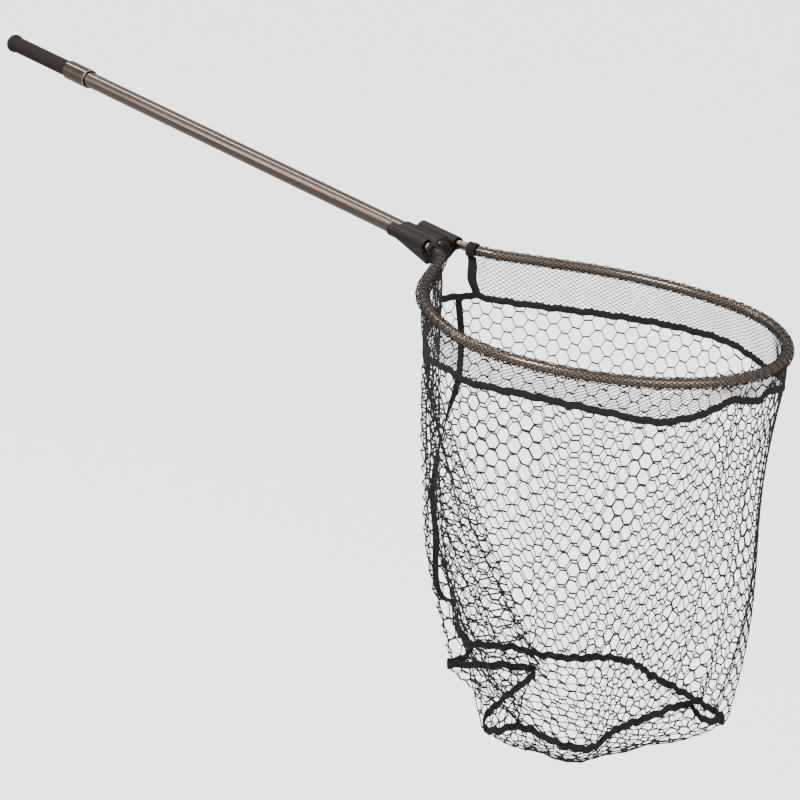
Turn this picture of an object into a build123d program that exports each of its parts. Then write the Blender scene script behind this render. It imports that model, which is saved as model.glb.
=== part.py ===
from build123d import *
from math import asin, cos, degrees, radians, sin, tan
import os

# A landing net: a telescopic handle with a twist lock, a moulded yoke, an aluminium hoop and a deep
# net bag. The origin is on the handle's axis in the middle of the hand grip, +X runs along the handle
# to the hoop's tip, and +Z is up, square to the hoop. All lengths are millimetres.

# --- Handle ---
GRIP_LENGTH = 172.0
GRIP_R = 13.0
BUTT_R = 15.0
BUTT_LENGTH = 9.0
INNER_R = 10.5  # the telescopic section that carries the grip
INNER_WALL = 1.2
INNER_END_X = 846.0
OUTER_R = 12.5  # the main tube
OUTER_WALL = 1.2
OUTER_START_X = 114.5
OUTER_END_X = 1083.5
PLUG_NOSE = 6.0
PLUG_SPIGOT = 30.0
BUSH_LENGTH = 26.0
FIT = 0.05  # radial running clearance

# --- Twist lock ---
COLLAR_START_X = 90.5
COLLAR_LENGTH = 61.0
COLLAR_R = 15.6
COLLAR_WALL = 1.4
COLLAR_CHAMFER = 1.3
COLLAR_LIP = 1.5  # the thin end wall behind the seal
COLLAR_CLEARANCE = 0.6
COLLET_START_X = 97.5
COLLET_LENGTH = 47.0
COLLET_R = 13.45
COLLET_SLIT = 1.6
SEAL_LENGTH = 3.0

# --- Yoke ---
YOKE_START_X = 996.5
YOKE_END_X = 1082.0
MIDDLE_BARREL_R = 15.0
MIDDLE_BARREL_LEAD = 2.0  # the middle barrel starts and ends this much nearer the grip
SIDE_BARREL_R = 9.7
MOUTH_R = 8.0  # each side barrel is opened out to this at its front
MOUTH_DEPTH = 7.0
WEB_TOP_Z = 11.0
WEB_SETBACK = 5.0
WEB_HOLLOW = 22.0  # how far the web's front edge curves back in the middle
KEEL_START_X = 1015.0  # under the barrels a keel deepens towards the front
KEEL_END_X = 1077.0
KEEL_DEPTH = 28.0
KEEL_TOP_HALF = 34.0  # its half width where it leaves the barrels, and at its foot
KEEL_FOOT_HALF = 14.0
KEEL_INSIDE_HALF = 26.0
KEEL_HOLLOW = 5.0
KEEL_ROUNDING = 2.0
BARREL_END_ROUNDING = 3.0
BARREL_MOUTH_ROUNDING = 0.9
MIDDLE_BARREL_ROUNDING = 2.4
SIDE_Y = 28.0  # the two hoop ends lie this far each side of the handle
HOOP_Z = 6.0  # the hoop's plane is this far above the handle's axis
PIN_R = 1.9
PIN_REACH = 2.4  # how far each pin goes past a tube's outside

# --- Hoop ---
HOOP_TUBE_R = 6.3
HOOP_WALL = 1.1
HOOP_TIP_X = 1677.9  # the middle of the tube at the tip
HOOP_ARCS = [(258.0, 66.4), (175.3, 33.3), (357.3, 38.6)]  # radius and turn of each arc from the tip
BEND_R = 85.6  # each arm bends outward from the yoke on this radius
HOOP_CENTRE_X = 1429.7  # the bag's levels shrink about this point
SLEEVE_R = 7.3

# --- Net ---
BAND_END_X = 1116.5  # the band of fine netting starts here on both arms
END_TAPE_WIDTH = 9.0
NET_THICKNESS = 1.6
TAPE_THICKNESS = 2.6
TAPE_WIDTH = 8.0
BAND_BOTTOM_Z = -45.0
BAG_LEAN = 0.229  # the bag hangs forward by this share of its depth
# The bag's outline at each level: height, share of the hoop's size, and shift to the side.
BAG_LEVELS = [(-53.0, 1.0, 0.0), (-250.0, 0.93, -4.0), (-400.0, 0.88, -12.0), (-490.0, 0.77, -22.0)]
BASE_LEVELS = [(-498.0, 0.77, -22.0), (-524.0, 0.68, -22.0), (-545.0, 0.42, -22.0)]
GAP = 0.05  # between sewn pieces that touch

THROAT_ANGLE = sum(turn for _, turn in HOOP_ARCS)  # where the round part ends, counted from the tip
THROAT_HEADING = THROAT_ANGLE - 90.0
BEND_CENTRE_Y = SIDE_Y + BEND_R


def round_point(angle, grow=0.0):
    """A point on the hoop's round part where its outside faces this angle from the tip."""
    centre_x, centre_y, start = HOOP_TIP_X, 0.0, 0.0
    before = 0.0
    for r, turn in HOOP_ARCS:
        centre_x += (before - r) * cos(radians(start))
        centre_y += (before - r) * sin(radians(start))
        before, start = r, start + turn
        if abs(angle) <= start + 1e-6:
            break
    x = centre_x + (r + grow) * cos(radians(angle))
    y = centre_y + (r + grow) * sin(radians(abs(angle)))
    return (x, y if angle >= 0 else -y)


def bend_centre_x():
    """The straight throat, carried on, meets the line of the hoop's end at a corner, and the bend's
    centre is half a bend back from it."""
    tangent_x, tangent_y = round_point(THROAT_ANGLE)
    corner_x = tangent_x - (tangent_y - SIDE_Y) / tan(radians(THROAT_HEADING))
    return corner_x - BEND_R * tan(radians(THROAT_HEADING / 2))


BEND_CENTRE_X = bend_centre_x()


def tube(radius, bore, start_x, end_x):
    """A round tube along the handle's axis."""
    length = end_x - start_x
    ring = Circle(radius) - Circle(bore) if bore else Circle(radius)
    return extrude(Plane.YZ.offset(start_x) * ring, length)


def bend_point(side, angle, grow=0.0):
    """A point on the arm's bend; a positive grow moves it out of the hoop."""
    r = BEND_R - grow
    return (BEND_CENTRE_X + r * sin(radians(angle)), side * (BEND_CENTRE_Y - r * cos(radians(angle))))


def bend_angle(x, grow=0.0):
    return degrees(asin((x - BEND_CENTRE_X) / (BEND_R - grow)))


def outline_points(start_x, grow=0.0):
    """The hoop's plan from one arm round the tip to the other, starting at start_x: lists of two points
    for its lines and three for its arcs."""
    first = bend_angle(start_x, grow)
    angles = (first, (first + THROAT_HEADING) / 2, THROAT_HEADING)
    runs = [
        [bend_point(-1, angle, grow) for angle in angles],
        [bend_point(-1, THROAT_HEADING, grow), round_point(-THROAT_ANGLE, grow)],
    ]
    stops = [0.0]
    for _, turn in HOOP_ARCS:
        stops.append(stops[-1] + turn)
    stops = [-stop for stop in reversed(stops[1:])] + stops
    for start, end in zip(stops, stops[1:]):
        runs.append([round_point(angle, grow) for angle in (start, (start + end) / 2, end)])
    runs.append([round_point(THROAT_ANGLE, grow), bend_point(1, THROAT_HEADING, grow)])
    runs.append([bend_point(1, angle, grow) for angle in reversed(angles)])
    return runs


def wire_of(runs):
    """A wire of the lines and arcs through lists of two or three points."""
    curves = [Line(*run) if len(run) == 2 else ThreePointArc(*run) for run in runs]
    return Wire([curve.edge() for curve in curves])


def outline_at(grow, level):
    """The bag's outline at one level: the hoop's plan closed by a straight edge under the yoke, shrunk
    about the hoop's centre and moved forward by the bag's lean."""
    z, share, shift_y = level
    runs = outline_points(BAND_END_X - grow, grow)
    runs.append([runs[-1][-1], runs[0][0]])
    middle_x = HOOP_CENTRE_X + BAG_LEAN * (HOOP_Z - z)

    def placed(point):
        x, y = point
        return (middle_x + (x - HOOP_CENTRE_X) * share, y * share + shift_y, z)

    return wire_of([[placed(point) for point in run] for run in runs])


def leaning(face, top_z, bottom_z):
    """A plan face extruded down from top_z to bottom_z, along the way the bag hangs."""
    drop = top_z - bottom_z
    way = Vector(BAG_LEAN, 0, -1)
    placed = face.moved(Location((BAG_LEAN * (HOOP_Z - top_z), 0, top_z)))
    return extrude(placed, amount=drop * way.length, dir=way.normalized())


def ring_tape(level):
    """A tape sewn round the bag, from one level down."""
    half = TAPE_THICKNESS / 2
    plan = make_face(outline_at(half, level)) - make_face(outline_at(-half, level))
    way = Vector(BAG_LEAN, 0, -1)
    return extrude(plan, amount=TAPE_WIDTH * way.length, dir=way.normalized())


def loft_levels(grow, levels):
    return Solid.make_loft([outline_at(grow, level) for level in levels], ruled=True)


def moved_level(level, dz):
    return (level[0] + dz, *level[1:])


# --- Handle pieces ---
def butt_cap():
    """The end cap: a round-edged flange with a spigot in the inner tube."""
    end_x = -GRIP_LENGTH / 2
    flange = tube(BUTT_R, 0, end_x, end_x + BUTT_LENGTH)
    flange = fillet(flange.edges().filter_by(GeomType.CIRCLE), 2.6)
    spigot = tube(INNER_R - INNER_WALL, 6.0, end_x + BUTT_LENGTH, end_x + BUTT_LENGTH + 28)
    return flange + spigot


def grip_foam():
    start_x = -GRIP_LENGTH / 2 + BUTT_LENGTH
    sleeve = tube(GRIP_R, INNER_R, start_x, GRIP_LENGTH / 2)
    rims = sleeve.edges().filter_by(GeomType.CIRCLE).group_by(Axis.X)[-1]
    return fillet(rims.sort_by(SortBy.RADIUS)[-1:], 1.2)


def inner_tube():
    return tube(INNER_R, INNER_R - INNER_WALL, -GRIP_LENGTH / 2 + BUTT_LENGTH, INNER_END_X)


def guide_bush():
    """A plug on the inner tube's far end that runs in the main tube."""
    head = tube(OUTER_R - OUTER_WALL - FIT, 6.0, INNER_END_X, INNER_END_X + BUSH_LENGTH)
    head = chamfer(head.edges().filter_by(GeomType.CIRCLE).sort_by(Axis.X)[-1:], 0.8)
    return head + tube(INNER_R - INNER_WALL, 6.0, INNER_END_X - 22, INNER_END_X)


# --- Twist lock pieces ---
def collar_shell():
    """The turned metal collar, bevelled at both ends, with a lip behind the seal."""
    end_x = COLLAR_START_X + COLLAR_LENGTH
    body = tube(COLLAR_R, 0, COLLAR_START_X, end_x)
    body = chamfer(body.edges().filter_by(GeomType.CIRCLE), COLLAR_CHAMFER)
    body -= tube(COLLAR_R - COLLAR_WALL, 0, COLLAR_START_X + COLLAR_LIP, end_x)
    return body - tube(INNER_R + COLLAR_CLEARANCE, 0, COLLAR_START_X, COLLAR_START_X + COLLAR_LIP)


def wiper_seal():
    start_x = COLLAR_START_X + COLLAR_LIP + GAP
    return tube(COLLAR_R - COLLAR_WALL, INNER_R + 0.1, start_x, start_x + SEAL_LENGTH)


def collar_insert():
    """The threaded liner pressed into the collar; it turns on the collet."""
    start_x = COLLET_START_X + 2
    return tube(COLLAR_R - COLLAR_WALL, COLLET_R + FIT, start_x, COLLET_START_X + COLLET_LENGTH)


def collet():
    """A sleeve bonded over the main tube, with slit fingers that grip the inner tube."""
    end_x = COLLET_START_X + COLLET_LENGTH
    body = tube(COLLET_R, 0, COLLET_START_X, end_x)
    body -= tube(OUTER_R, 0, OUTER_START_X, end_x)
    body -= tube(INNER_R + FIT, 0, COLLET_START_X, OUTER_START_X)
    for turn in (0, 90):
        slit = Box(OUTER_START_X - COLLET_START_X - 3, 4 * COLLET_R, COLLET_SLIT)
        body -= Rot(X=turn) * Pos(X=(OUTER_START_X + COLLET_START_X - 3) / 2) * slit
    return body


# --- Main tube pieces ---
def outer_tube():
    return tube(OUTER_R, OUTER_R - OUTER_WALL, OUTER_START_X, OUTER_END_X) - pins(PIN_R + GAP)


def tube_plug():
    """The round-nosed plug that closes the main tube in front of the yoke."""
    nose = tube(OUTER_R, 0, OUTER_END_X, OUTER_END_X + PLUG_NOSE)
    nose = fillet(nose.edges().filter_by(GeomType.CIRCLE).sort_by(Axis.X)[-1:], 5.0)
    return nose + tube(OUTER_R - OUTER_WALL, 0, OUTER_END_X - PLUG_SPIGOT, OUTER_END_X)


# --- Yoke pieces ---
def yoke():
    """Three moulded barrels side by side on a keel that deepens forward and narrows downward."""
    start_x = YOKE_START_X - MIDDLE_BARREL_LEAD
    body = tube(MIDDLE_BARREL_R, 0, start_x, YOKE_END_X - MIDDLE_BARREL_LEAD)
    body = fillet(body.edges().filter_by(GeomType.CIRCLE), MIDDLE_BARREL_ROUNDING)
    body += yoke_keel() + yoke_web()
    for side in (-1, 1):
        barrel = tube(SIDE_BARREL_R, 0, YOKE_START_X, YOKE_END_X)
        ends = barrel.edges().filter_by(GeomType.CIRCLE).sort_by(Axis.X)
        barrel = fillet(ends[:1], BARREL_END_ROUNDING)
        mouth_edge = barrel.edges().filter_by(GeomType.CIRCLE).sort_by(Axis.X)[-1:]
        barrel = fillet(mouth_edge, BARREL_MOUTH_ROUNDING)
        body += Pos(Y=side * SIDE_Y, Z=HOOP_Z) * barrel
        mouth = tube(MOUTH_R, 0, YOKE_END_X - MOUTH_DEPTH, YOKE_END_X + GAP)
        body -= Pos(Y=side * SIDE_Y, Z=HOOP_Z) * mouth
    body -= tube(OUTER_R + FIT, 0, YOKE_START_X - MIDDLE_BARREL_R, YOKE_END_X + MIDDLE_BARREL_R)
    return body - swept_ring(hoop_path(), HOOP_TUBE_R + FIT, 0) - pins(PIN_R + GAP)


def yoke_plan(half_width, start_x, front_x, hollow):
    """A plan between two straight sides, its front edge curved back in the middle."""
    sides = Polyline(
        (front_x, -half_width),
        (start_x, -half_width),
        (start_x, half_width),
        (front_x, half_width),
    )
    front = ThreePointArc((front_x, half_width), (front_x - hollow, 0), (front_x, -half_width))
    return make_face([*sides.edges(), front.edge()])


def yoke_web():
    """The web that fills the valleys between the barrels."""
    plan = yoke_plan(SIDE_Y, YOKE_START_X + WEB_SETBACK, YOKE_END_X - MIDDLE_BARREL_LEAD, WEB_HOLLOW)
    bottom_z = HOOP_Z - SIDE_BARREL_R + 1
    return Pos(Z=bottom_z) * extrude(plan, WEB_TOP_Z - bottom_z)


def yoke_keel():
    """The part under the barrels: a triangle from the side, and narrow at its foot from the front."""
    top_z = HOOP_Z - 2
    leave_z = HOOP_Z - SIDE_BARREL_R + 2
    side_view = Polyline(
        (KEEL_START_X, top_z),
        (KEEL_START_X, leave_z),
        (KEEL_END_X, -KEEL_DEPTH),
        (KEEL_END_X, top_z),
        close=True,
    )
    slab = extrude(Plane.XZ * make_face(side_view), KEEL_TOP_HALF, both=True)
    plan = yoke_plan(KEEL_TOP_HALF, KEEL_START_X - 1, KEEL_END_X, KEEL_HOLLOW)
    section = Polyline(
        (-KEEL_INSIDE_HALF, top_z),
        (-KEEL_TOP_HALF, leave_z),
        (-KEEL_FOOT_HALF, -KEEL_DEPTH - 1),
        (KEEL_FOOT_HALF, -KEEL_DEPTH - 1),
        (KEEL_TOP_HALF, leave_z),
        (KEEL_INSIDE_HALF, top_z),
        close=True,
    )
    run = extrude(Plane.YZ.offset(KEEL_START_X - 1) * make_face(section), KEEL_END_X - KEEL_START_X + 2)
    keel = slab & extrude(plan, 2 * KEEL_DEPTH, both=True) & run
    long_side = (KEEL_END_X - KEEL_START_X) / 2
    low_edges = keel.edges().filter_by(
        lambda edge: edge.length > long_side and edge.center().Z < leave_z - KEEL_ROUNDING
    )
    return fillet(low_edges, KEEL_ROUNDING)


def pins(radius):
    """The pins driven up into the three barrels to hold the tubes; with more radius, their holes."""
    solids = []
    for y, z, barrel_r, tube_r in (
        (0, 0, MIDDLE_BARREL_R, OUTER_R),
        (-SIDE_Y, HOOP_Z, SIDE_BARREL_R, HOOP_TUBE_R),
        (SIDE_Y, HOOP_Z, SIDE_BARREL_R, HOOP_TUBE_R),
    ):
        bottom_z = z - barrel_r + 0.3
        top_z = z - tube_r + PIN_REACH
        middle = Pos(YOKE_START_X + 30, y, (bottom_z + top_z) / 2)
        solids.append(middle * Cylinder(radius, top_z - bottom_z))
    return solids


# --- Hoop pieces ---
def hoop_path():
    start_x = YOKE_START_X + 12
    runs = outline_points(BEND_CENTRE_X)
    return wire_of([[(start_x, -SIDE_Y), runs[0][0]], *runs, [runs[-1][-1], (start_x, SIDE_Y)]])


def swept_ring(wire, radius, bore):
    """A tube, or a rod with no bore, swept along a plan path at the hoop's height."""
    start = Plane(origin=wire @ 0, z_dir=wire % 0)
    section = Circle(radius) - Circle(bore) if bore else Circle(radius)
    return Pos(Z=HOOP_Z) * sweep(start * section, path=wire)


def hoop_tube():
    return swept_ring(hoop_path(), HOOP_TUBE_R, HOOP_TUBE_R - HOOP_WALL) - pins(PIN_R + GAP)


def hoop_sleeve():
    return swept_ring(wire_of(outline_points(BAND_END_X + GAP)), SLEEVE_R, HOOP_TUBE_R + GAP)


# --- Net pieces ---
def end_tape(side):
    """The tape that binds one end of the band: a cuff round the arm and a strip hanging from it."""
    first = bend_angle(BAND_END_X - END_TAPE_WIDTH)
    last = bend_angle(BAND_END_X - 0.8)
    path = wire_of([[bend_point(side, angle) for angle in (first, (first + last) / 2, last)]])
    cuff = swept_ring(path, SLEEVE_R + 0.5, HOOP_TUBE_R + GAP)
    wide = TAPE_THICKNESS / 2
    corners = [bend_point(side, first, wide), bend_point(side, last, wide)]
    corners += [bend_point(side, last, -wide), bend_point(side, first, -wide)]
    strip = leaning(make_face(Polyline(*corners, close=True)), HOOP_Z - SLEEVE_R, BAND_BOTTOM_Z + GAP)
    return cuff + strip


def net_band():
    """The shallow band of fine netting that hangs from the hoop."""
    outer = outline_points(BAND_END_X + GAP, NET_THICKNESS / 2)
    inner = outline_points(BAND_END_X + GAP, -NET_THICKNESS / 2)
    ends = [[outer[-1][-1], inner[-1][-1]], [inner[0][0], outer[0][0]]]
    plan = make_face(wire_of([*outer, *inner, *ends]))
    return leaning(plan, HOOP_Z - SLEEVE_R - GAP, BAND_BOTTOM_Z + GAP)


def net_wall():
    half = NET_THICKNESS / 2
    top, *middle, bottom = BAG_LEVELS
    outside = [moved_level(top, -GAP), *middle, moved_level(bottom, GAP)]
    inside = [moved_level(top, 1), *middle, moved_level(bottom, -1)]
    return loft_levels(half, outside) - loft_levels(-half, inside)


def seam_tape():
    """The tape over the bag's seam, down the middle of the wall under the yoke."""
    sections = []
    half = TAPE_WIDTH / 2
    for level in BAG_LEVELS:
        z, _, middle_y = level
        wall_x = outline_at(NET_THICKNESS / 2, level).bounding_box().min.X - 2 * GAP
        back_x = wall_x - TAPE_THICKNESS / 2
        left, right = middle_y + half, middle_y - half
        corners = [(wall_x, right, z), (wall_x, left, z), (back_x, left, z), (back_x, right, z)]
        sections.append(Polyline(*corners, close=True).wire())
    return Solid.make_loft(sections, ruled=True)


def net_base():
    """The round base panel, which sags below its tape."""
    half = NET_THICKNESS / 2
    top, *lower = BASE_LEVELS
    outside = [moved_level(top, -GAP), *lower]
    inside = [moved_level(top, 1), *[moved_level(level, NET_THICKNESS) for level in lower]]
    return loft_levels(half, outside) - loft_levels(-half, inside)


def write(node, solid):
    export_step(solid, f"parts/{node}.step")


def build():
    os.makedirs("parts", exist_ok=True)
    write("butt_cap", butt_cap())
    write("grip_foam", grip_foam())
    write("inner_tube", inner_tube())
    write("guide_bush", guide_bush())
    write("collar_shell", collar_shell())
    write("wiper_seal", wiper_seal())
    write("collar_insert", collar_insert())
    write("collet", collet())
    write("outer_tube", outer_tube())
    write("tube_plug", tube_plug())
    write("yoke", yoke())
    write("yoke_pins", Compound(children=pins(PIN_R)))
    write("hoop_tube", hoop_tube())
    write("hoop_sleeve", hoop_sleeve())
    write("end_tape_left", end_tape(1))
    write("end_tape_right", end_tape(-1))
    write("net_band", net_band())
    write("band_tape", ring_tape((BAND_BOTTOM_Z, 1.0, 0.0)))
    write("net_wall", net_wall())
    write("seam_tape", seam_tape())
    write("base_tape", ring_tape(BAG_LEVELS[-1]))
    write("net_base", net_base())


build()
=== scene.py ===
# %% [markdown]
# # A landing net
# A telescopic handle ends in a moulded yoke, which holds both ends of a bent aluminium hoop. A sleeve of
# fine netting wraps the hoop, and a deep bag of hexagonal netting hangs from it. The hard parts arrive as a
# fixed frame, and everything soft is made here around them. All lengths are in metres.

# %% Load the frame
import bmesh
import bpy
import random
from math import asin, atan2, ceil, cos, hypot, pi, radians, sin, tan
from mathutils import Matrix, Vector


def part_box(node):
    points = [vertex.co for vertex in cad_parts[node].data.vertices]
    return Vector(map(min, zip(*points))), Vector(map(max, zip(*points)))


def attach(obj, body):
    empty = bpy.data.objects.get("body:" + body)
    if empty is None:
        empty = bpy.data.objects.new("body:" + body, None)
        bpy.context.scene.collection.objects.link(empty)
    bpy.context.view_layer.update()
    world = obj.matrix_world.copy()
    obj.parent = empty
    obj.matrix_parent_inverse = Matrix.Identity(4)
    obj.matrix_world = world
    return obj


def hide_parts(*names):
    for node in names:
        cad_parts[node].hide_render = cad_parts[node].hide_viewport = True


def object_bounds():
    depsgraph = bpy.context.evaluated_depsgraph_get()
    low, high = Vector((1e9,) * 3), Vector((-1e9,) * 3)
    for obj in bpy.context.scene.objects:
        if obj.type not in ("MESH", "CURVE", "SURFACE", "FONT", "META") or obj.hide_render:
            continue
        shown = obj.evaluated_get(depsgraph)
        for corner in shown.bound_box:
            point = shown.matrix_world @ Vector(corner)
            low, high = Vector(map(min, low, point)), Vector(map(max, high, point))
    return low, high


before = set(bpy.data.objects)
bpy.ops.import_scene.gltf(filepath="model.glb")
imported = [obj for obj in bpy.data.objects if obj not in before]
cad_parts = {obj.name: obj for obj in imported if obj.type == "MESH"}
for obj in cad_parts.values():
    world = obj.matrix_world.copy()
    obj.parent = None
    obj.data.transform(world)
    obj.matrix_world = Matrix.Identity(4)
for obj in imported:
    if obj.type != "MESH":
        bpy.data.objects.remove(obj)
cad_low, cad_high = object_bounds()
print("frame", len(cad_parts), "nodes, box", cad_low, cad_high)

# %% [markdown]
# ## The camera
# The net is looked at from the hoop's side and a little above, with the handle running away to the left.
# A long lens from a few metres keeps the handle's far end nearly as thick as its near end. The small roll
# sets the bag hanging straight down in the view, because in the hand the handle points a little downward.

# %% Camera
hoop_low, hoop_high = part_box("hoop_tube")
TUBE_R = (hoop_high.z - hoop_low.z) / 2
HOOP_Z = (hoop_high.z + hoop_low.z) / 2
HOOP_TIP = hoop_high.x - TUBE_R
HOOP_X = HOOP_TIP - 0.2482

AZIMUTH = radians(49.86)
ELEVATION = radians(18.36)
ROLL = radians(8.03)
DISTANCE = 4.5
LENS = 148.5


def add_camera():
    """A camera that looks at a point just in front of the hoop's middle."""
    target = Vector((HOOP_X - 0.1835, -0.1768, HOOP_Z - 0.159))
    back = Vector((sin(AZIMUTH) * cos(ELEVATION), -cos(AZIMUTH) * cos(ELEVATION), sin(ELEVATION)))
    data = bpy.data.cameras.new("camera")
    data.lens = LENS
    camera = bpy.data.objects.new("camera", data)
    bpy.context.scene.collection.objects.link(camera)
    turn = (-back).to_track_quat("-Z", "Y").to_matrix().to_4x4()
    camera.matrix_world = Matrix.Translation(target + back * DISTANCE) @ turn @ Matrix.Rotation(ROLL, 4, "Z")
    bpy.context.scene.camera = camera
    return camera


camera = add_camera()
print("camera at", camera.matrix_world.translation)

# %% [markdown]
# ## Light and floor
# A pale sweep far below the net and a dim room make even studio light. A round tube mirrors a light only
# from the far end of its own axis, so two long strip lights hang there and draw a highlight along each tube.

# %% Lights and floor
FLOOR_DROP = 1.1
LIGHTS = (
    ("top_strip", (-2.2, -0.1, 2.8), (0.3, 3.2), 46),
    ("low_strip", (-2.3, -2.3, 1.4), (0.4, 3.0), 26),
    ("key", (1.6, -2.4, 2.6), (0.5, 1.6), 60),
    ("fill", (4.2, 0.4, 1.6), (2.4, 2.4), 30),
)


def add_light(name, place, size, power):
    data = bpy.data.lights.new(name, "AREA")
    data.shape = "RECTANGLE"
    data.size, data.size_y = size
    data.energy = power
    light = bpy.data.objects.new(name, data)
    bpy.context.scene.collection.objects.link(light)
    aim = Vector((0.9, 0, -0.1)) - Vector(place)
    light.matrix_world = Matrix.Translation(place) @ aim.to_track_quat("-Z", "Y").to_matrix().to_4x4()


for light in LIGHTS:
    add_light(*light)

world = bpy.data.worlds.new("studio")
bpy.context.scene.world = world
world.use_nodes = True
world.node_tree.nodes["Background"].inputs["Color"].default_value = (1, 1, 1, 1)
world.node_tree.nodes["Background"].inputs["Strength"].default_value = 0.55

bm = bmesh.new()
bmesh.ops.create_grid(bm, x_segments=1, y_segments=1, size=40)
bmesh.ops.translate(bm, vec=(1, 0, cad_low.z - FLOOR_DROP), verts=bm.verts)
floor_mesh = bpy.data.meshes.new("floor")
bm.to_mesh(floor_mesh)
bm.free()
floor = bpy.data.objects.new("floor", floor_mesh)
bpy.context.scene.collection.objects.link(floor)
sweep = bpy.data.materials.new("floor")
sweep.use_nodes = True
sweep_shader = sweep.node_tree.nodes["Principled BSDF"]
sweep_shader.inputs["Base Color"].default_value = (0.9, 0.9, 0.9, 1)
sweep_shader.inputs["Roughness"].default_value = 0.9
sweep_shader.inputs["Emission Color"].default_value = (1, 1, 1, 1)
sweep_shader.inputs["Emission Strength"].default_value = 2.2
floor_mesh.materials.append(sweep)
floor.visible_diffuse = False
floor.visible_glossy = False
print("floor at", cad_low.z - FLOOR_DROP)

# %% [markdown]
# ## Writing materials as sums
# Node graphs are easier to read as arithmetic. A Wire is one value in a material, and adding or
# multiplying wires adds the Math nodes. Every other node comes from Paint.node.

# %% Material helpers


class Wire:
    """One value in a material's graph."""

    def __init__(self, paint, socket):
        self.paint = paint
        self.socket = socket

    def math(self, operation, *others):
        values = dict(enumerate((self, *others)))
        return self.paint.node("ShaderNodeMath", {"operation": operation}, values)

    def __add__(self, other):
        return self.math("ADD", other)

    def __radd__(self, other):
        return self.math("ADD", other)

    def __sub__(self, other):
        return self.math("SUBTRACT", other)

    def __rsub__(self, other):
        return self.math("MULTIPLY_ADD", -1.0, other)

    def __mul__(self, other):
        return self.math("MULTIPLY", other)

    def __rmul__(self, other):
        return self.math("MULTIPLY", other)

    def __truediv__(self, other):
        return self.math("DIVIDE", other)


class Paint:
    """A material under construction, with its Principled shader."""

    def __init__(self, name, **constants):
        self.material = bpy.data.materials.new(name)
        self.material.use_nodes = True
        self.tree = self.material.node_tree
        self.shader = self.tree.nodes["Principled BSDF"]
        for socket, value in constants.items():
            self.shader.inputs[socket.replace("_", " ")].default_value = value

    def node(self, kind, settings=None, values=None, output=0):
        """Adds a node: its settings first, then values or links for its sockets."""
        made = self.tree.nodes.new(kind)
        for name, setting in (settings or {}).items():
            if name == "stops":
                ramp = made.color_ramp
                while len(ramp.elements) < len(setting):
                    ramp.elements.new(0.5)
                for element, (place, shade) in zip(ramp.elements, setting):
                    element.position = place
                    element.color = shade
            else:
                setattr(made, name, setting)
        for socket, value in (values or {}).items():
            self.link(value, made.inputs[socket])
        return Wire(self, made.outputs[output])

    def link(self, value, socket):
        if isinstance(value, Wire):
            self.tree.links.new(value.socket, socket)
        else:
            socket.default_value = value

    def place(self, scale=(1, 1, 1), turn=(0, 0, 0)):
        """The point on the piece, stretched, to lay a pattern on."""
        spot = self.node("ShaderNodeTexCoord", output="Object")
        return self.node("ShaderNodeMapping", values={"Vector": spot, "Scale": scale, "Rotation": turn})

    def uv(self, scale=(1, 1, 1)):
        spot = self.node("ShaderNodeTexCoord", output="UV")
        return self.node("ShaderNodeMapping", values={"Vector": spot, "Scale": scale})

    def noise(self, where, scale, detail=3.0, roughness=0.55):
        values = {"Vector": where, "Scale": scale, "Detail": detail, "Roughness": roughness}
        return self.node("ShaderNodeTexNoise", values=values)

    def blend(self, share, dark, light):
        """A colour between two colours."""
        values = {"Factor": share, "A": dark, "B": light}
        made = self.tree.nodes.new("ShaderNodeMix")
        made.data_type = "RGBA"
        self.link(values["Factor"], made.inputs[0])
        self.link(values["A"], made.inputs[6])
        self.link(values["B"], made.inputs[7])
        return Wire(self, made.outputs[2])

    def use(self, socket, value):
        self.link(value, self.shader.inputs[socket])

    def bump(self, height, depth, strength=1.0):
        values = {"Height": height, "Distance": depth, "Strength": strength}
        self.use("Normal", self.node("ShaderNodeBump", values=values))


def band_mask(value, middle, width, edge):
    """1 within half a width of middle, and 0 beyond, with a soft edge."""
    far = (value - middle).math("ABSOLUTE")
    return ((width / 2 - far) / edge + 0.5).math("MINIMUM", 1.0).math("MAXIMUM", 0.0)


# %% [markdown]
# ## Metal
# The tubes are drawn aluminium, polished and anodised to a warm bronze. Drawing leaves faint lines along
# the tube, and handling leaves soft smudges that change only the gloss.

# %% Bronze anodised metal


def anodised(name, colour, gloss):
    paint = Paint(name, Metallic=1.0, IOR=1.6, Coat_Weight=0.2, Coat_Roughness=0.08)
    lines = paint.noise(paint.place((6, 900, 900)), 1.0, 2.0)
    smudge = paint.noise(paint.place((9, 22, 22)), 1.0, 4.0)
    dark = (colour[0] * 0.78, colour[1] * 0.75, colour[2] * 0.72, 1)
    paint.use("Base Color", paint.blend(smudge * 0.7 + lines * 0.3, dark, (*colour, 1)))
    paint.use("Roughness", smudge * 0.14 + lines * 0.08 + gloss)
    paint.bump(lines, 0.00002, 0.35)
    return paint.material


def collar_finish():
    """Brighter bronze, with the bevels at both ends cut back to bare metal."""
    low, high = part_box("collar_shell")
    paint = Paint("collar_metal", Metallic=1.0, IOR=1.6, Coat_Weight=0.3, Coat_Roughness=0.08)
    along = paint.node("ShaderNodeSeparateXYZ", values={"Vector": paint.place()})
    turned = paint.noise(paint.place((2500, 20, 20)), 1.0, 2.0)
    smudge = paint.noise(paint.place((30, 40, 40)), 1.0, 3.0)
    bare = band_mask(along, low.x, 0.0024, 0.0003) + band_mask(along, high.x, 0.0024, 0.0003)
    bronze = paint.blend(smudge, (0.115, 0.075, 0.052, 1), (0.17, 0.115, 0.082, 1))
    paint.use("Base Color", paint.blend(bare, bronze, (0.62, 0.56, 0.52, 1)))
    paint.use("Roughness", 0.14 + smudge * 0.1 + bare * 0.08)
    paint.bump(turned, 0.00001, 0.4)
    return paint.material


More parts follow.
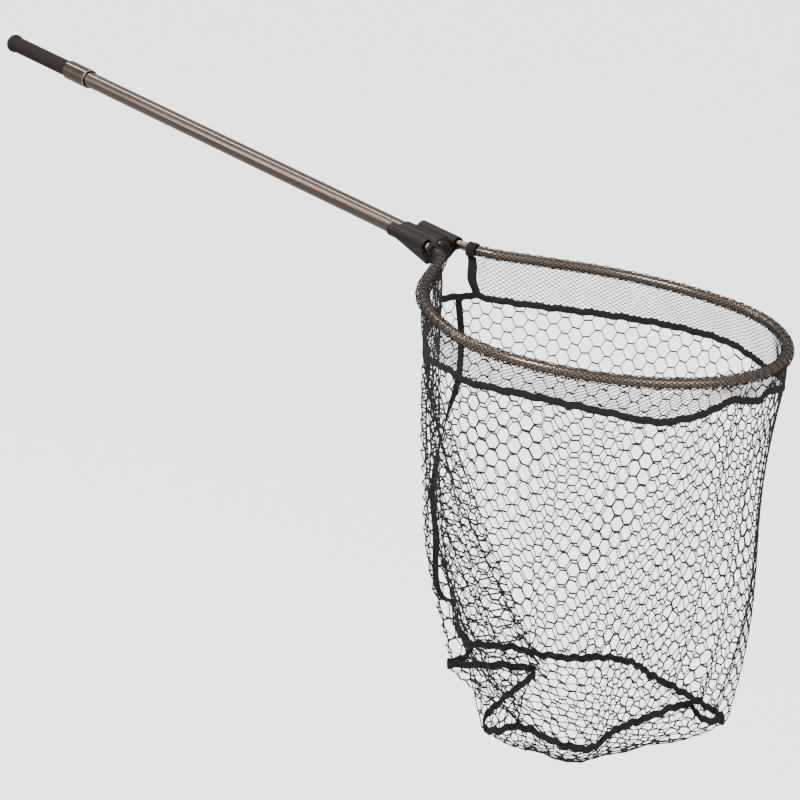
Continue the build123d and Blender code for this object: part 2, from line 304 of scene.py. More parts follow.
tube_metal = anodised("tube_metal", (0.21, 0.155, 0.122), 0.12)
# The hoop's bronze is painted paler than the handle's: painted light that brightens its highlights where
# they show through the netting.
hoop_metal = anodised("hoop_metal", (0.48, 0.375, 0.3), 0.17)
inner_metal = anodised("inner_tube_metal", (0.16, 0.11, 0.08), 0.22)
collar_metal = collar_finish()
print("metals", tube_metal.name, hoop_metal.name, inner_metal.name, collar_metal.name)

# %% [markdown]
# ## Foam, rubber and moulded plastic
# The grip is closed-cell foam, so its skin is matt with tiny pores. The end cap is soft rubber. The yoke is
# filled nylon from a mould: a fine sparked texture, a slight sheen, and paler scuffs.

# %% Foam, rubber and plastic


def foam():
    paint = Paint("grip_foam", Roughness=0.9, Specular_IOR_Level=0.25)
    pores = paint.node(
        "ShaderNodeTexVoronoi", {"feature": "F1"}, {"Vector": paint.place(), "Scale": 900.0}
    )
    cloud = paint.noise(paint.place(), 60.0, 4.0)
    paint.use("Base Color", paint.blend(cloud, (0.022, 0.016, 0.0145, 1), (0.05, 0.037, 0.033, 1)))
    paint.use("Roughness", 0.78 + cloud * 0.15)
    paint.bump(pores * 0.6 + cloud * 0.5, 0.0004, 0.6)
    return paint.material


def moulded(name, dark, light, gloss, grain):
    paint = Paint(name, Specular_IOR_Level=0.3, IOR=1.5)
    cloud = paint.noise(paint.place(), 38.0, 5.0)
    spark = paint.noise(paint.place(), grain, 2.0)
    paint.use("Base Color", paint.blend(cloud, (*dark, 1), (*light, 1)))
    paint.use("Roughness", cloud * 0.16 + spark * 0.1 + gloss)
    paint.bump(spark, 0.00015, 0.5)
    return paint.material


grip_foam = foam()
butt_rubber = moulded("butt_rubber", (0.022, 0.017, 0.015), (0.045, 0.036, 0.032), 0.5, 1400.0)
yoke_plastic = moulded("yoke_plastic", (0.013, 0.0085, 0.0065), (0.029, 0.0195, 0.0155), 0.38, 1800.0)
inner_plastic = moulded("inner_plastic", (0.02, 0.02, 0.02), (0.04, 0.04, 0.04), 0.5, 1500.0)
seal_rubber = moulded("seal_rubber", (0.012, 0.012, 0.012), (0.03, 0.03, 0.03), 0.6, 1500.0)
pin_steel = anodised("pin_steel", (0.5, 0.48, 0.46), 0.28)
print("plastics ready")

# %% [markdown]
# ## Netting and tape
# The netting is knitted from twisted nylon, so each thread shows a fine twist and a dry sheen. The tape is
# a flat weave: raised weft ribs across it, crossed by warp yarns, with a soft fuzzy surface.

# %% Netting and tape finishes


def thread_finish(name, dark, light):
    paint = Paint(name, Specular_IOR_Level=0.25, IOR=1.5)
    twist = paint.node(
        "ShaderNodeTexWave",
        {"wave_type": "BANDS", "bands_direction": "DIAGONAL"},
        {"Vector": paint.place(), "Scale": 420.0, "Distortion": 2.0, "Detail": 2.0},
    )
    fibre = paint.noise(paint.place(), 700.0, 3.0)
    paint.use("Base Color", paint.blend(twist * 0.5 + fibre * 0.5, (*dark, 1), (*light, 1)))
    paint.use("Roughness", fibre * 0.25 + 0.45)
    paint.bump(twist, 0.0002, 0.6)
    return paint.material


def tape_finish():
    paint = Paint("tape", Specular_IOR_Level=0.2, IOR=1.5)
    ribs = paint.node(
        "ShaderNodeTexWave",
        {"wave_type": "BANDS", "bands_direction": "X"},
        {"Vector": paint.uv((1, 1, 1)), "Scale": 320.0, "Distortion": 0.6, "Detail": 1.0},
    )
    yarns = paint.node(
        "ShaderNodeTexWave",
        {"wave_type": "BANDS", "bands_direction": "Y"},
        {"Vector": paint.uv((1, 1, 1)), "Scale": 260.0, "Distortion": 0.8},
    )
    fuzz = paint.noise(paint.place(), 1300.0, 4.0)
    paint.use("Base Color", paint.blend(fuzz, (0.02, 0.018, 0.016, 1), (0.052, 0.047, 0.043, 1)))
    paint.use("Roughness", fuzz * 0.2 + 0.68)
    paint.bump(ribs * 0.6 + yarns * 0.3 + fuzz * 0.3, 0.0004, 0.8)
    return paint.material


netting = thread_finish("netting", (0.022, 0.0215, 0.021), (0.055, 0.053, 0.051))
fine_netting = thread_finish("fine_netting", (0.03, 0.0245, 0.021), (0.072, 0.06, 0.052))
tape = tape_finish()
print("cloth finishes ready")

# %% [markdown]
# ## The hard parts
# The tubes, lock, yoke and hoop keep the shape that they arrive with, and only get their finishes.

# %% Finish the hard parts
FINISHES = {
    "butt_cap": butt_rubber,
    "grip_foam": grip_foam,
    "inner_tube": inner_metal,
    "guide_bush": inner_plastic,
    "collar_shell": collar_metal,
    "wiper_seal": seal_rubber,
    "collar_insert": inner_plastic,
    "collet": inner_plastic,
    "outer_tube": tube_metal,
    "tube_plug": yoke_plastic,
    "yoke": yoke_plastic,
    "yoke_pins": pin_steel,
    "hoop_tube": hoop_metal,
}
for node, finish in FINISHES.items():
    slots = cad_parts[node].data.materials
    slots.clear()
    slots.append(finish)
print("finished", len(FINISHES), "hard parts")

# %% [markdown]
# ## The hoop's line
# Everything soft follows the hoop, so its line comes first. Seen from above it is a walk of a few strides:
# out along one arm's bend, straight up the throat, round the big arc past the tip, and back the same way.
# Walking it by length means that netting can be laid along it without bunching.

# %% A walk round the hoop
ARM_Y = 0.028
BEND_R = 0.0856
BAND_X = 1.1165
# The round part is three arcs a side, each a radius and a turn, counted from the tip.
ARCS = ((0.258, radians(66.4)), (0.1753, radians(33.3)), (0.3573, radians(38.6)))
OUTWARD = sum(turn for _, turn in ARCS) - pi / 2


def throat_end():
    """The place on the far side where the round part meets the straight throat."""
    place, way = Vector((HOOP_TIP, 0)), pi / 2
    for radius, turn in ARCS:
        place += Vector((sin(way + turn) - sin(way), cos(way) - cos(way + turn))) * radius
        way += turn
    return place


THROAT_END = throat_end()
BEND_X = THROAT_END.x - (THROAT_END.y - ARM_Y) / tan(OUTWARD) - BEND_R * tan(OUTWARD / 2)


class Walk:
    """A plan line made of straight and curved strides, each a length and a turn in radians."""

    def __init__(self, start, heading, strides):
        self.strides = []
        self.length = 0.0
        place, way = Vector(start), heading
        for length, turn in strides:
            self.strides.append((self.length, length, turn, place.copy(), way))
            place = self.along(place, way, length, turn, length)
            way += turn
            self.length += length

    @staticmethod
    def along(place, way, length, turn, gone):
        if abs(turn) < 1e-9:
            return place + Vector((cos(way), sin(way))) * gone
        radius = length / turn
        angle = way + turn * gone / length
        return place + Vector((sin(angle) - sin(way), cos(way) - cos(angle))) * radius

    def at(self, gone):
        """The place and heading after walking some way."""
        gone = min(max(gone, 0.0), self.length)
        for start, length, turn, place, way in reversed(self.strides):
            if gone >= start:
                break
        return self.along(place, way, length, turn, gone - start), way + turn * (gone - start) / length


def hoop_walk(start_x):
    """The hoop's line from one arm round the tip to the other, starting where an arm passes start_x."""
    first = asin((start_x - BEND_X) / BEND_R)
    start = (start_x, BEND_R * cos(first) - BEND_R - ARM_Y)
    bend_end = Vector((BEND_X + BEND_R * sin(OUTWARD), BEND_R * cos(OUTWARD) - BEND_R - ARM_Y))
    bend = ((OUTWARD - first) * BEND_R, first - OUTWARD)
    throat = ((Vector((THROAT_END.x, -THROAT_END.y)) - bend_end).length, 0.0)
    arcs = [(radius * turn, turn) for radius, turn in ARCS]
    return Walk(start, -first, [bend, throat, *reversed(arcs), *arcs, throat, bend])


band_walk = hoop_walk(BAND_X)
print("band is", round(band_walk.length, 3), "m long")

# %% [markdown]
# ## How the bag hangs
# With the handle held as here the bag hangs a little forward, so a point that is deeper is also further
# forward. A place on the bag is written as a plan place on the hoop's level and a depth, and hang() leans
# it. The tape under the band is a closed loop: along the hoop, and straight across under the yoke.

# %% The loop under the band
LEAN = 0.229
REAR_HALF = abs(band_walk.at(0)[0].y)
LOOP_LENGTH = band_walk.length + 2 * REAR_HALF


def hang(x, y, depth):
    """The place of a point of the bag that hangs from (x, y) on the hoop's level."""
    return Vector((x + LEAN * depth, y, HOOP_Z - depth))


def top_loop(share):
    """The plan place on the loop under the band. It starts behind the yoke and goes by the far side."""
    gone = share * LOOP_LENGTH
    if gone < REAR_HALF:
        return Vector((BAND_X, gone))
    if gone < REAR_HALF + band_walk.length:
        return band_walk.at(band_walk.length + REAR_HALF - gone)[0]
    return Vector((BAND_X, gone - LOOP_LENGTH))


print("loop under the band is", round(LOOP_LENGTH, 3), "m round")

# %% [markdown]
# ## Two fitted loops
# The tape under the band is not level: it is drawn up where the netting bunches at the tip, and drops
# towards the yoke. The base is smaller than the mouth, and its tape is folded inward on the near side, where
# the wall falls into a deep pleat. A smooth closed curve through a few rows holds each shape. The rows
# weren't placed by hand: a separate program fitted them to where the real tapes lie, and they were rounded.

# %% Rows for both loops
# Each row: the share of the way round, the depth below the hoop, and how far inward it is drawn.
BAND_POINTS = (
    (0.000, 0.062, 0.0),
    (0.045, 0.063, 0.0),
    (0.130, 0.060, 0.0),
    (0.221, 0.053, 0.0),
    (0.252, 0.053, 0.0),
    (0.296, 0.062, 0.0),
    (0.335, 0.058, 0.0),
    (0.370, 0.050, 0.004),
    (0.400, 0.041, 0.006),
    (0.435, 0.031, 0.006),
    (0.456, 0.036, 0.005),
    (0.490, 0.027, 0.003),
    (0.506, 0.030, 0.0),
    (0.522, 0.039, 0.0),
    (0.562, 0.049, 0.0),
    (0.610, 0.042, 0.0),
    (0.665, 0.040, 0.0),
    (0.702, 0.045, 0.0),
    (0.730, 0.051, 0.0),
    (0.755, 0.051, 0.0),
    (0.803, 0.062, 0.0),
    (0.850, 0.069, 0.0),
    (0.900, 0.067, 0.0),
    (0.950, 0.064, 0.0),
)
# Each row: the share of the way round the mouth that hangs here, then the place forward and sideways of
# the hoop's middle, and the depth below the hoop.
BASE_POINTS = (
    (0.000, -0.247, -0.060, 0.490),
    (0.030, -0.206, -0.061, 0.500),
    (0.065, -0.175, -0.016, 0.500),
    (0.100, -0.141, 0.007, 0.500),
    (0.140, -0.112, 0.047, 0.500),
    (0.175, -0.101, 0.088, 0.500),
    (0.215, -0.069, 0.118, 0.500),
    (0.260, -0.020, 0.116, 0.500),
    (0.305, 0.040, 0.119, 0.500),
    (0.390, 0.162, 0.080, 0.480),
    (0.430, 0.161, 0.041, 0.475),
    (0.460, 0.136, 0.035, 0.465),
    (0.510, 0.159, -0.060, 0.460),
    (0.560, 0.146, -0.105, 0.475),
    (0.605, 0.144, -0.142, 0.492),
    (0.645, 0.114, -0.171, 0.494),
    (0.690, 0.057, -0.189, 0.492),
    (0.730, 0.040, -0.229, 0.498),
    (0.765, 0.002, -0.207, 0.498),
    (0.805, -0.039, -0.130, 0.494),
    (0.840, -0.077, -0.054, 0.490),
    (0.875, -0.112, -0.091, 0.490),
    (0.910, -0.144, -0.154, 0.492),
    (0.950, -0.164, -0.101, 0.492),
)


def between(before, start, end, after, share):
    """A point on the smooth curve through four points in a row, between the middle two."""
    a = 2 * start
    b = (end - before) * share
    c = (2 * before - 5 * start + 4 * end - after) * share**2
    d = (3 * start - before - 3 * end + after) * share**3
    return (a + b + c + d) / 2


def on_rows(rows, share):
    """The values at a share of the way round, on the smooth closed curve through the rows."""
    share %= 1.0
    count = len(rows)
    k = max(n for n in range(count) if rows[n][0] <= share)
    end_share = rows[k + 1][0] if k + 1 < count else 1.0
    part = (share - rows[k][0]) / (end_share - rows[k][0])
    return between(*[Vector(rows[(k + step) % count][1:]) for step in (-1, 0, 1, 2)], part)


def band_edge(share):
    """The band's lower edge, as a plan place and a depth. The tape waves a little as it goes."""
    depth, inward = on_rows(BAND_POINTS, share)
    plan = top_loop(share % 1.0)
    plan += (Vector((HOOP_X, 0)) - plan).normalized() * inward
    wave = 0.0006 * sin(2 * pi * share * 38) + 0.0006 * sin(2 * pi * share * 71 + 1)
    return Vector((plan.x, plan.y, depth + wave))


def base_edge(share):
    """The base's edge, as a plan place and a depth. Small scallops run round it."""
    forward, side, depth = on_rows(BASE_POINTS, share)
    scallop = 0.001 * sin(2 * pi * share * 41) + 0.0012 * sin(2 * pi * share * 67 + 2)
    return Vector((HOOP_X + forward, side, depth + scallop))


def around(share, middle, width):
    """1 at one place on a loop, fading smoothly to 0 a width away on both sides."""
    off = abs((share - middle + 0.5) % 1.0 - 0.5)
    return cos(min(off / width, 1.0) * pi / 2) ** 2


base_round = sum((base_edge(k / 300) - base_edge((k + 1) / 300)).length for k in range(300))
band_round = sum((band_edge(k / 300) - band_edge((k + 1) / 300)).length for k in range(300))
print("tapes round the band and the base", round(band_round, 3), round(base_round, 3), "m long")

# %% [markdown]
# ## Knitting
# Hexagonal netting is made of zigzag strands, side by side, which join along short level bars. A bar is two
# strands looped together, so it is thicker than the rest. Each strand is a poly spline with a small round
# bevel, and each bar is a short fat one. The net is knitted flat, as columns and rows, and a cloth function
# then says where each flat point lies on the real piece. That keeps the cells even and costs few faces.

# %% Thread helpers
jitter = random.Random(7)


def link_piece(name, mesh, material):
    """A finished piece: its mesh holds its place, and its object stays at the origin."""
    made = bpy.data.objects.new(name, mesh)
    bpy.context.scene.collection.objects.link(made)
    mesh.materials.clear()
    mesh.materials.append(material)
    return made


def threads(lines, thickness, sides_resolution):
    """A mesh of round threads along lists of points."""
    curve = bpy.data.curves.new("threads", "CURVE")
    curve.dimensions = "3D"
    curve.bevel_depth = thickness / 2
    curve.bevel_resolution = sides_resolution
    curve.use_fill_caps = True
    for line in lines:
        spline = curve.splines.new("POLY")
        spline.points.add(len(line) - 1)
        for point, place in zip(spline.points, line):
            point.co = (*place, 1.0)
    holder = bpy.data.objects.new("threads", curve)
    mesh = bpy.data.meshes.new_from_object(holder)
    bpy.data.objects.remove(holder)
    bpy.data.curves.remove(curve)
    return mesh


def joined(name, meshes, material):
    """One piece of several meshes, with the ends of its threads closed."""
    bm = bmesh.new()
    for mesh in meshes:
        bm.from_mesh(mesh)
        bpy.data.meshes.remove(mesh)
    bmesh.ops.edgeloop_fill(bm, edges=[edge for edge in bm.edges if edge.is_boundary])
    mesh = bpy.data.meshes.new(name)
    bm.to_mesh(mesh)
    bm.free()
    made = link_piece(name, mesh, material)
    mesh.polygons.foreach_set("use_smooth", [True] * len(mesh.polygons))
    return made


def knit(name, cloth, columns, rows, size, bar, closed, material, loose=0.0, sides=1):
    """A net of columns by rows, laid by cloth(across, down), which takes shares of its width and height.
    size is the thickness of a thread and of a bar, and bar the bar's length as a share of a column."""
    thread, thick = size
    reach = (1 - bar) / 2
    strands, bars = [], []

    def spot(across, row):
        wander = loose / columns
        across += jitter.uniform(-wander, wander)
        down = row + jitter.uniform(-loose, loose)
        return cloth(across, min(max(down / rows, 0.0), 1.0))

    joints = {}
    for k in range(columns):
        for row in range(rows + 1):
            side = 1 if (k + row) % 2 == 0 else -1
            joints[k, row] = spot((k + 0.5 + side * reach) / columns, row)
    for k in range(columns):
        strands.append([joints[k, row] for row in range(rows + 1)])
    for k in range(columns if closed else columns - 1):
        for row in range(k % 2, rows + 1, 2):
            bars.append([joints[k, row], joints[(k + 1) % columns, row]])
    made = joined(name, [threads(strands, thread, sides), threads(bars, thick, sides)], material)
    print(name, len(made.data.polygons), "faces")
    return made


# %% [markdown]
# ## The bag's wall
# The wall hangs between the two loops. Its cloth function takes a share of the way round and a share of
# the way down. It eases from one loop to the other, staying wide at the back and on the near side before it
# draws in. One deep pleat runs down the near side, with small ones around it, and the columns crowd
# together along the far side's plain seam.

# %% The wall
WALL_ROWS = 41
WALL_COLUMNS = 100
PLEAT_SHARE = 0.85
PLEAT_LINE = 0.84  # the deep pleat's inner edge draws in early
BELLY, NEAR_BELLY = 0.006, 0.007
SWAY, SWAY_SHARE = 0.014, 0.97
FOLD_DEPTH = 0.012
NEAR_LEFT = Vector((-0.645, -0.764))
SEAM_SHARE = 0.285


def crowded(across):
    """The share of the way round, with the columns drawn together at the far seam and in the pleats."""
    off = (across - SEAM_SHARE + 0.5) % 1.0 - 0.5
    pleat_off = (across - PLEAT_SHARE + 0.5) % 1.0 - 0.5
    share = across - 0.72 * off * around(across, SEAM_SHARE, 0.036)
    return share - 0.4 * pleat_off * around(across, PLEAT_SHARE, 0.13)


def wall_place(share, down):
    """A smooth place on the wall, with no pleats."""
    top, low = band_edge(share), base_edge(share)
    late = max(cos(2 * pi * (share - 0.86)), 0.0)
    late *= 1 - 0.97 * around(share, PLEAT_LINE, 0.07)
    drawn = down ** (1 + 2.4 * late) + 0.1 * sin(2 * pi * down) * around(share, 0.38, 0.2)
    x = top.x + (low.x - top.x) * drawn
    y = top.y + (low.y - top.y) * drawn
    out = Vector((x - HOOP_X, y)).normalized()
    belly = (BELLY + NEAR_BELLY * around(share, 0.91, 0.1)) * sin(pi * down)
    low_part = min(max((down - 0.4) / 0.6, 0), 1)
    sway = SWAY * around(share, SWAY_SHARE, 0.13) * sin(pi * low_part) ** 2
    x, y = Vector((x, y)) + out * belly + NEAR_LEFT * sway
    return hang(x, y, top.z + (low.z - top.z) * down), Vector((*out, 0))


def wall_cloth(across, down):
    share = crowded(across)
    place, out = wall_place(share, down)
    pleat = around(share, PLEAT_SHARE, 0.12) * (0.3 + 0.7 * down)
    fold = FOLD_DEPTH * pleat * (sin(2 * pi * share * 47 + 1.5 * sin(5 * down)) - 0.6)
    crease = 0.0035 * sin(2 * pi * share * 17 + 3 * down) * down
    crease += 0.0025 * sin(2 * pi * share * 31 + 1.3) * down**2
    tuck = 0.007 * around(share, SEAM_SHARE, 0.03) * sin(pi * down) ** 0.5
    return place + out * (fold + crease - tuck)


WALL_THREADS = (0.0017, 0.0024)
WALL_BAR = 0.58
wall_net = knit(
    "wall_net", wall_cloth, WALL_COLUMNS, WALL_ROWS, WALL_THREADS, WALL_BAR, True, netting, 0.05
)

# %% [markdown]
# ## The base panel
# The base is cut round and sewn to its tape, and it sags well below it as a shallow bowl. A flat round net
# would need its strands cut one by one at the edge, so the strands are laid on the round cut, and only the
# part inside it is kept.

# %% The base
BASE_CUT_R = 0.2
BASE_SAG = 0.066
MIDDLE_SHARE = 0.9  # the middle sags this much of what the bowl does
POUCH, POUCH_SHARE = 0.03, 0.82


def base_ring(share):
    """The base's edge with its folds smoothed away."""
    return sum((base_edge(share + step * 0.04) for step in range(-3, 4)), Vector((0, 0, 0))) / 7


base_middle = sum((base_ring(k / 60) for k in range(60)), Vector((0, 0, 0))) / 60


def base_cloth(x, y):
    """Where a point of the round cut lies on the sagging base: a bowl whose rim follows the tape."""
    far = min(hypot(x, y) / BASE_CUT_R, 1.0)
    share = (0.5 - atan2(y, x) / (2 * pi)) % 1.0
    middle = base_middle + Vector((0, 0, BASE_SAG * MIDDLE_SHARE))
    bowl = base_ring(share) + Vector((0, 0, BASE_SAG + POUCH * around(share, POUCH_SHARE, 0.1)))
    edge = base_edge(share)
    return hang(*(middle * (1 - far) ** 2 + bowl * (2 * far * (1 - far)) + edge * far**2))


def knit_base(name, pitch, row_height, size, bar, material):
    thread, thick = size
    count = ceil(BASE_CUT_R / pitch)
    rows = ceil(BASE_CUT_R / row_height)
    reach = (1 - bar) / 2
    strands, bars = [], []

    def joint(k, row):
        side = 1 if (k + row) % 2 == 0 else -1
        return ((k + 0.5 + side * reach) * pitch, row * row_height)

    def inside(spot):
        return hypot(*spot) < BASE_CUT_R

    for k in range(-count, count):
        run = [joint(k, row) for row in range(-rows, rows + 1)]
        run = [spot for spot in run if inside(spot)]
        if len(run) > 1:
            ends = [Vector(run[0]).normalized() * BASE_CUT_R, Vector(run[-1]).normalized() * BASE_CUT_R]
            run = [tuple(ends[0]), *run, tuple(ends[1])] if abs(run[0][0]) < BASE_CUT_R * 0.97 else run
            strands.append([base_cloth(*spot) for spot in run])
        for row in range(-rows, rows + 1):
            if (k + row) % 2 == 0 and inside(joint(k, row)) and inside(joint(k + 1, row)):
                bars.append([base_cloth(*joint(k, row)), base_cloth(*joint(k + 1, row))])
    made = joined(name, [threads(strands, thread, 1), threads(bars, thick, 1)], material)
    print(name, len(made.data.polygons), "faces")
    return made


BASE_PITCH, BASE_ROW = 0.0163, 0.0112
base_net = knit_base("base_net", BASE_PITCH, BASE_ROW, (0.0016, 0.0023), WALL_BAR, netting)

# %% [markdown]
# ## The band and the sleeve
# The band under the hoop and the sleeve round it are one piece of finer netting, a third of the bag's
# scale. The sleeve is snug on most of the tube, and baggy where it has slid and bunched: along the near
# throat and at the tip. On the near arm it has slid right up to the yoke.

# %% The band and the sleeve
NEAR_X = 1.098
BAND_COLUMNS = 360
BAND_ROWS = 18
SLEEVE_COLUMNS = 400
SLEEVE_ROWS = 16
SLEEVE_R = TUBE_R + 0.0008

sleeve_walk = hoop_walk(NEAR_X)
SLEEVE_LENGTH = (sleeve_walk.length + band_walk.length) / 2
REAR_SHARE = REAR_HALF / LOOP_LENGTH


def outward_at(gone):
    place, way = sleeve_walk.at(gone)
    return place, Vector((sin(way), -cos(way)))


def bunched(across):
    """Where along the sleeve it is loose, from 0 to 1."""
    near_throat = max(0.0, sin(pi * min(across / 0.2, 1.0)))
    return near_throat + 0.5 * around(across, 0.615, 0.09) + 0.12 * around(across, 0.37, 0.1)


def sleeve_cloth(across, turn):
    place, out = outward_at(across * SLEEVE_LENGTH)
    angle = 2 * pi * turn
    loose = bunched(across)
    ripple = 0.0006 * sin(2 * pi * across * 83) + 0.0004 * loose * sin(2 * pi * across * 47 + 3 * angle)
    radius = SLEEVE_R + 0.0006 + ripple + 0.006 * loose * ((1 - sin(angle)) / 2) ** 2
    spot = place + out * (radius * cos(angle))
    return Vector((spot.x, spot.y, HOOP_Z + radius * sin(angle)))


def band_cloth(across, down):
    plan, out = outward_at(across * SLEEVE_LENGTH)
    top = hang(plan.x, plan.y, TUBE_R + 0.001)
    low = hang(*band_edge(1 - REAR_SHARE - across * (1 - 2 * REAR_SHARE))) + Vector((0, 0, 0.003))
    slack = 0.002 * sin(2 * pi * across * 23 + 2 * down)
    slack += 0.0015 * bunched(across) * sin(2 * pi * across * 61)
    return top.lerp(low, down) + Vector((*out, 0)) * (slack * sin(pi * down))


BAND_THREADS, SLEEVE_THREADS = (0.001, 0.0016), (0.0009, 0.0013)
band_net = knit(
    "band_net",
    band_cloth,
    BAND_COLUMNS,
    BAND_ROWS,
    BAND_THREADS,
    bar=0.55,
    closed=False,
    material=fine_netting,
    loose=0.08,
    sides=0,
)
sleeve_net = knit(
    "sleeve_net",
    sleeve_cloth,
    SLEEVE_COLUMNS,
    SLEEVE_ROWS,
    SLEEVE_THREADS,
    bar=0.5,
    closed=False,
    material=fine_netting,
    loose=0.05,
    sides=0,
)

# %% [markdown]
# ## Tapes
# Each tape is a flat woven strip folded over the netting's edge. It starts as a row of edges along its
# line, extruded across its width; Solidify gives the thickness and Bevel rounds the edges.

# %% Tape helper
TAPE_WIDTH = 0.01
TAPE_THICK = 0.0022


def strip(name, line, across, closed, width=TAPE_WIDTH, thick=TAPE_THICK):
    """A woven strip along a line of points, with the way across it at each point."""
    bm = bmesh.new()
    first = [bm.verts.new(place - way * (width / 2)) for place, way in zip(line, across)]
    pairs = list(zip(first, first[1:]))
    if closed:
        pairs.append((first[-1], first[0]))
    edges = [bm.edges.new(pair) for pair in pairs]
    made = bmesh.ops.extrude_edge_only(bm, edges=edges)
    second = [item for item in made["geom"] if isinstance(item, bmesh.types.BMVert)]
    moves = dict()
    for vert, place, way in zip(first, line, across):
        moves[tuple(round(value, 7) for value in vert.co)] = way * width
    for vert in second:
        vert.co += moves[tuple(round(value, 7) for value in vert.co)]
    gone = 0.0
    along = {}
    for k, vert in enumerate(first):
        along[vert] = gone
        if k + 1 < len(first):
            gone += (first[k + 1].co - vert.co).length
    layer = bm.loops.layers.uv.new("weave")
    for face in bm.faces:
        starts = [loop for loop in face.loops if loop.vert in along]
        places = [along[loop.vert] for loop in starts]
        wraps = closed and max(places) - min(places) > gone / 2
        for loop in face.loops:
            if loop.vert in along:
                value = along[loop.vert]
                if wraps and value < gone / 2:
                    value = gone + (first[0].co - first[-1].co).length
                loop[layer].uv = (value, 0.0)
        for loop in face.loops:
            if loop.vert not in along:
                mate = min(starts, key=lambda other: (other.vert.co - loop.vert.co).length)
                loop[layer].uv = (mate[layer].uv[0], width)
    bmesh.ops.recalc_face_normals(bm, faces=bm.faces)
    mesh = bpy.data.meshes.new(name)
    bm.to_mesh(mesh)
    bm.free()
    piece = link_piece(name, mesh, tape)
    solid = piece.modifiers.new("thickness", "SOLIDIFY")
    solid.thickness = thick
    solid.offset = 0
    rounding = piece.modifiers.new("edge", "BEVEL")
    rounding.width = thick * 0.35
    rounding.segments = 2
    rounding.limit_method = "ANGLE"
    mesh.polygons.foreach_set("use_smooth", [True] * len(mesh.polygons))
    print(name, len(mesh.polygons), "faces before its modifiers")
    return piece


# %% Band tape, base tape and seam tape
STEPS = 400
# Each row: a share of the way down, and how far round the seam has wandered. Most rows were fitted by a
# separate program to where the real seam lies.
SEAM_POINTS = (
    (0.00, 0.002),
    (0.13, 0.006),
    (0.27, 0.004),
    (0.40, -0.009),
    (0.50, -0.018),
    (0.60, -0.020),
    (0.68, -0.034),
    (0.76, -0.058),
    (0.84, -0.066),
    (0.90, -0.040),
    (0.95, -0.010),
    (1.00, 0.000),
)


def seam_share(down):
    """How far round the wall the seam has wandered at a share of the way down."""
    k = max(n for n in range(len(SEAM_POINTS) - 1) if SEAM_POINTS[n][0] <= down)
    part = (down - SEAM_POINTS[k][0]) / (SEAM_POINTS[k + 1][0] - SEAM_POINTS[k][0])
    near_rows = [SEAM_POINTS[min(max(k + step, 0), len(SEAM_POINTS) - 1)][1] for step in (-1, 0, 1, 2)]
    return between(*near_rows, part)


fall = Vector((LEAN, 0, -1)).normalized()
band_line = [hang(*band_edge(k / STEPS)) for k in range(STEPS)]
band_tape = strip("band_binding", band_line, [fall] * STEPS, True)

base_line = [hang(*base_edge(k / STEPS)) for k in range(STEPS)]
base_tape = strip("base_binding", base_line, [fall] * STEPS, True)

seam_line, seam_across = [], []
for k in range(101):
    place, out = wall_place(seam_share(k / 100) % 1.0, k / 100)
    twist = 0.5 * sin(k / 9) + 0.3 * sin(k / 4)
    seam_line.append(place + out * 0.003)
    seam_across.append((Vector((-out.y, out.x, 0)) * cos(twist) + out * sin(twist)).normalized())
seam_tape = strip("seam_binding", seam_line, seam_across, False)

# %% [markdown]
# ## The tapes at the band's ends
# Each end of the band is bound by a tape that goes round the arm as a cuff, and hangs down to the tape
# below. The cuff is one turn of the tape round the arm. The far one hangs slack, so it twists and bulges.

# %% End tapes
FAR_TAPE_WIDTH = 0.014


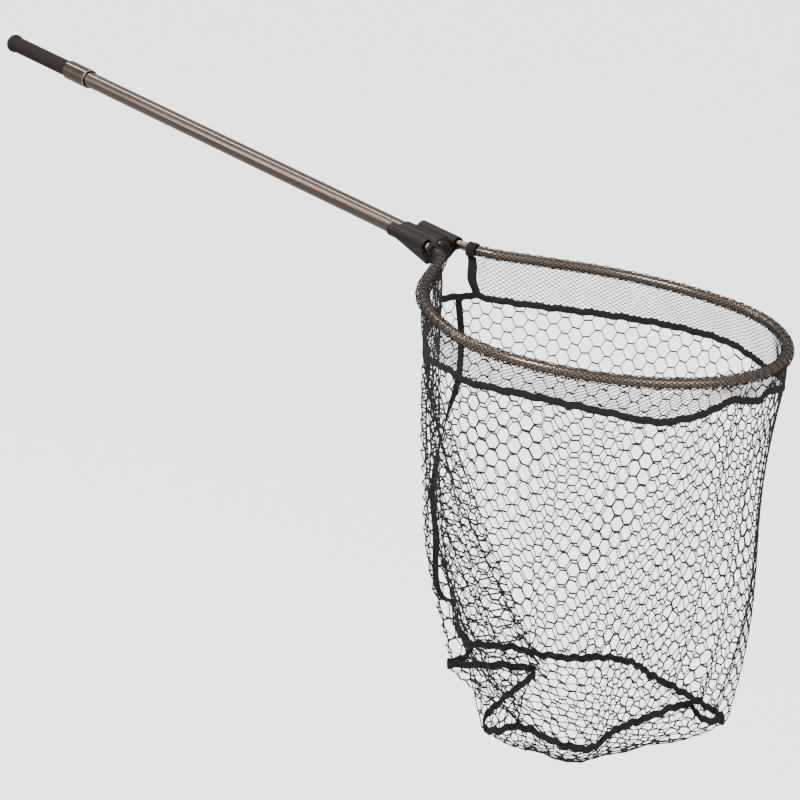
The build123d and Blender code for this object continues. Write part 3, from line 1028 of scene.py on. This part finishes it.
def end_tape(name, gone, side, width, twist, bulge):
    place, out = outward_at(gone)
    way = sleeve_walk.at(gone)[1]
    middle = place + Vector((cos(way), sin(way))) * (side * width / 2)
    along, out = Vector((cos(way), sin(way), 0)), Vector((*out, 0))
    line, across = [], []
    for k in range(25):
        angle = 2 * pi * k / 24 - pi / 2
        radius = TUBE_R + 0.0019 + 0.0001 * k
        spot = Vector((middle.x, middle.y, HOOP_Z)) + out * (radius * cos(angle))
        line.append(spot + Vector((0, 0, radius * sin(angle))))
        across.append(along)
    low = hang(*band_edge(REAR_SHARE if side > 0 else 1 - REAR_SHARE))
    start = line[-1]
    for k in range(1, 31):
        part = k / 30
        swing = sin(pi * part**1.4) ** 2
        spot = start.lerp(low, part) + Vector((*NEAR_LEFT, 0)) * (bulge * swing)
        turn = twist * sin(pi * part) ** 2
        line.append(spot)
        across.append(along * cos(turn) + out * sin(turn))
    return strip(name, line, across, False, width, 0.0018)


far_end_tape = end_tape("end_tape_far", SLEEVE_LENGTH - 0.001, 1, FAR_TAPE_WIDTH, -0.45, 0.004)
near_end_tape = end_tape("end_tape_near", 0.006, -1, TAPE_WIDTH, 0.7, 0.002)

# %% [markdown]
# ## What each piece stands for
# Every soft piece hides the plain solid that it stands for, and moves with the net's head.

# %% Tie the pieces to the frame
STANDS_FOR = (
    (wall_net, "netting", ("net_wall",)),
    (base_net, "netting", ("net_base",)),
    (band_net, "fine_netting", ("net_band",)),
    (sleeve_net, "fine_netting", ("hoop_sleeve",)),
    (band_tape, "tape", ("band_tape",)),
    (base_tape, "tape", ("base_tape",)),
    (seam_tape, "tape", ("seam_tape",)),
    (far_end_tape, "tape", ("end_tape_left",)),
    (near_end_tape, "tape", ("end_tape_right",)),
)
for piece, slot, nodes in STANDS_FOR:
    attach(piece, "net_head")
    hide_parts(*nodes)

# %% [markdown]
# ## Cloth measures
# Every soft piece was cut from flat cloth. The flat sizes of the cuts of the wall, the band and the sleeve
# are worked out here. Netting is mostly holes, so its area is the share of the cut that is thread.

# %% Flat sizes of the cuts
WALL_THREAD, FINE_THREAD = 0.3, 0.45
SLEEVE_ROUND = 2 * pi * (SLEEVE_R + 0.002)
WALL_CUT = (base_round * 0.5 + band_round * 0.5, 0.46)
BAND_CUT = (SLEEVE_LENGTH, 0.075)


def net_sheet(cut, thread):
    thread * cut[0] * cut[1]


net_sheet(WALL_CUT, WALL_THREAD)
net_sheet(BAND_CUT, FINE_THREAD)
net_sheet((SLEEVE_LENGTH, SLEEVE_ROUND), FINE_THREAD)
